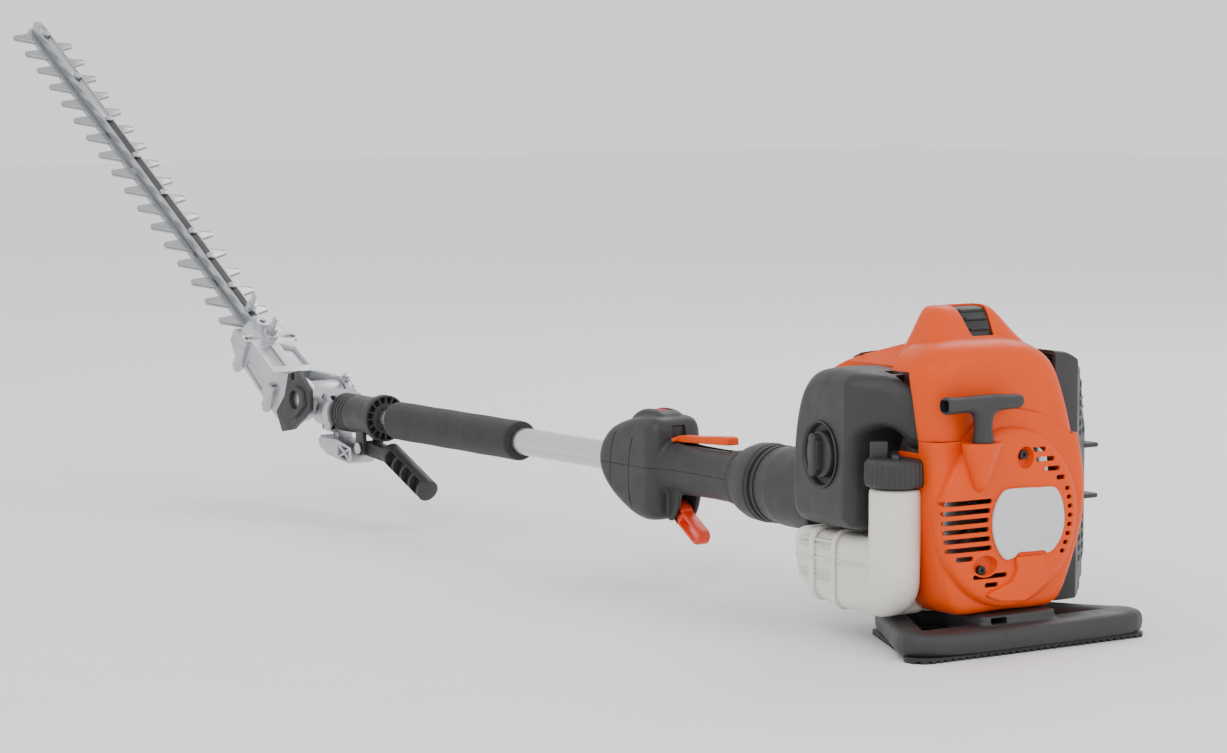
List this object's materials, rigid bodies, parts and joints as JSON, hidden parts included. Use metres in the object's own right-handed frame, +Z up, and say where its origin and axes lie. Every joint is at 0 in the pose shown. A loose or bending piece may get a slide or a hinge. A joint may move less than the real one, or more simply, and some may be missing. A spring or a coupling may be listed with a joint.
{
  "type": "pole hedge trimmer",
  "caption": "Petrol pole hedge trimmer: engine with foot, pole with foam and trigger grips, and a tilting double-blade cutter head.",
  "frame": {"origin": "middle of the underside of the rear foot bar, on the floor", "axes": "+X forward along the pole towards the cutter, +Y to the air-filter side, +Z up"},
  "size_m": [1.9278, 0.3045, 0.543],
  "materials": {
    "orange_plastic": "moulded, satin gloss, fine surface texture",
    "dark_plastic": "moulded dark grey, fine grain",
    "black_plastic": "moulded black",
    "black_rubber": "moulded rubber",
    "tank_plastic": "translucent blow-moulded, soft sheen",
    "badge_plastic": "plain satin plate",
    "signal_plastic": "moulded orange-red",
    "stop_plastic": "moulded red",
    "grip_foam": "fine ribbed foam",
    "filter_felt": "pleated felt",
    "rope_fibre": "braided cord",
    "tube_alloy": "satin drawn tube",
    "cast_alloy": "bead-blasted casting",
    "blade_steel": "ground steel",
    "bar_steel": "milled bar",
    "machined_steel": "turned and ground",
    "black_steel": "black finish screws"
  },
  "bodies": {
    "frame": {"foot_frame": "dark_plastic", "foot_tread": "black_rubber", "fuel_tank": "tank_plastic", "crankcase": "cast_alloy", "cylinder": "cast_alloy", "ignition_coil": "black_plastic", "spark_plug": "machined_steel", "plug_boot": "black_rubber", "muffler": "machined_steel", "muffler_guard": "dark_plastic", "carburettor": "cast_alloy", "filter_base": "black_plastic", "air_filter": "filter_felt", "top_cover": "orange_plastic", "hump_vent": "black_plastic", "cover_trim": "dark_plastic", "starter_housing": "orange_plastic", "badge": "badge_plastic", "recoil_spring": "machined_steel", "starter_rope": "rope_fibre", "housing_screws": "black_steel", "front_shroud": "dark_plastic", "clutch_housing": "dark_plastic", "damper_ring": "black_rubber", "coupling_boot": "dark_plastic", "handle_upper": "dark_plastic", "handle_lower": "dark_plastic", "main_tube": "tube_alloy", "shaft_bushes": "black_plastic", "foam_grip": "grip_foam", "collar_sleeve": "dark_plastic", "lever_pin": "machined_steel", "neck_housing": "cast_alloy", "skid_arm": "cast_alloy"},
    "cap": {"tank_cap": "dark_plastic"},
    "crank": {"crankshaft": "machined_steel", "flywheel": "cast_alloy", "clutch_shoes": "machined_steel"},
    "drive": {"drive_shaft": "machined_steel", "clutch_drum": "machined_steel"},
    "pivot_gear": {"pivot_gear": "machined_steel"},
    "piston": {"piston": "machined_steel"},
    "pulley": {"rope_pulley": "black_plastic"},
    "pull_grip": {"starter_grip": "dark_plastic"},
    "filter_cover": {"filter_cover": "dark_plastic"},
    "filter_knob": {"filter_knob": "dark_plastic"},
    "primer": {"primer_bulb": "black_rubber"},
    "choke": {"choke_lever": "black_plastic"},
    "trigger": {"throttle_trigger": "signal_plastic"},
    "lockout": {"lockout_lever": "orange_plastic"},
    "switch": {"stop_switch": "stop_plastic"},
    "lever": {"lock_lever": "dark_plastic"},
    "head": {"gear_case_lower": "cast_alloy", "gear_case_upper": "cast_alloy", "pivot_cover": "dark_plastic", "case_screws": "machined_steel", "guide_bar": "bar_steel"},
    "eccentric": {"eccentric_gear": "machined_steel"},
    "upper_blade": {"upper_blade": "blade_steel"},
    "lower_blade": {"lower_blade": "blade_steel"}
  },
  "joints": [
    {"name": "head_tilt", "type": "hinge", "parent": "frame", "child": "head", "pos_m": [1.188, 0, 0.12], "axis": [0, -1, 0], "range_deg": [-31.45, 118.5]},
    {"name": "upper_blade_stroke", "type": "slide", "parent": "head", "child": "upper_blade", "axis": [0.8531, 0, 0.5218], "range_m": [-0.008, 0.008]},
    {"name": "lower_blade_stroke", "type": "slide", "parent": "head", "child": "lower_blade", "axis": [0.8531, 0, 0.5218], "range_m": [-0.008, 0.008]},
    {"name": "eccentric_spin", "type": "hinge", "parent": "head", "child": "eccentric", "pos_m": [1.29314, 0, 0.13976], "axis": [-0.5218, 0, 0.8531], "continuous": true},
    {"name": "drive_spin", "type": "hinge", "parent": "frame", "child": "drive", "pos_m": [0.7, 0, 0.109], "axis": [1, 0, 0], "continuous": true},
    {"name": "pivot_gear_spin", "type": "hinge", "parent": "frame", "child": "pivot_gear", "pos_m": [1.19, 0, 0.12], "axis": [0, 1, 0], "continuous": true},
    {"name": "crank_spin", "type": "hinge", "parent": "frame", "child": "crank", "pos_m": [0.1, 0, 0.109], "axis": [1, 0, 0], "continuous": true},
    {"name": "piston_stroke", "type": "slide", "parent": "frame", "child": "piston", "axis": [0, 0, 1], "range_m": [-0.014, 0.014]},
    {"name": "rope_pull", "type": "slide", "parent": "frame", "child": "pull_grip", "axis": [0, 0, 1], "range_m": [0, 0.5], "stiffness_N_per_m": 24, "springref_m": -0.2},
    {"name": "pulley_turn", "type": "hinge", "parent": "frame", "child": "pulley", "pos_m": [0.022, 0, 0.109], "axis": [1, 0, 0], "range_deg": [0, 1065]},
    {"name": "cap_turn", "type": "hinge", "parent": "frame", "child": "cap", "pos_m": [0.05, 0.105, 0.155], "axis": [0, 0, 1], "continuous": true},
    {"name": "filter_cover_pull", "type": "slide", "parent": "frame", "child": "filter_cover", "axis": [0, 1, 0], "range_m": [0, 0.12]},
    {"name": "filter_knob_turn", "type": "hinge", "parent": "filter_cover", "child": "filter_knob", "pos_m": [0.135, 0.1182, 0.165], "axis": [0.1444, 0.9895, 0], "range_deg": [0, 90]},
    {"name": "primer_press", "type": "slide", "parent": "frame", "child": "primer", "axis": [-1, 0, 0], "range_m": [0, 0.003], "stiffness_N_per_m": 400, "springref_m": -0.001},
    {"name": "choke_turn", "type": "hinge", "parent": "frame", "child": "choke", "pos_m": [0.1745, 0.054, 0.156], "axis": [1, 0, 0], "range_deg": [0, 45]},
    {"name": "throttle", "type": "hinge", "parent": "frame", "child": "trigger", "pos_m": [0.513, 0, 0.072], "axis": [0, 1, 0], "range_deg": [0, 14], "stiffness_Nm_per_rad": 0.8, "springref_deg": -5.73},
    {"name": "lockout_press", "type": "hinge", "parent": "frame", "child": "lockout", "pos_m": [0.5, 0, 0.137], "axis": [0, -1, 0], "range_deg": [0, 3], "stiffness_Nm_per_rad": 1, "springref_deg": -5.73},
    {"name": "stop_slide", "type": "slide", "parent": "frame", "child": "switch", "axis": [1, 0, 0], "range_m": [0, 0.006]},
    {"name": "lever_pull", "type": "hinge", "parent": "frame", "child": "lever", "pos_m": [1.085, 0, 0.074], "axis": [0, 1, 0], "range_deg": [0, 6], "stiffness_Nm_per_rad": 14, "springref_deg": -25.78}
  ],
  "couplings": [
    {"joint": "lower_blade_stroke", "follows": "upper_blade_stroke", "ratio": -1},
    {"joint": "pivot_gear_spin", "follows": "drive_spin", "ratio": -0.8},
    {"joint": "eccentric_spin", "follows": "drive_spin", "ratio": 0.25},
    {"joint": "pulley_turn", "follows": "rope_pull", "rad_per_m": 37}
  ]
}
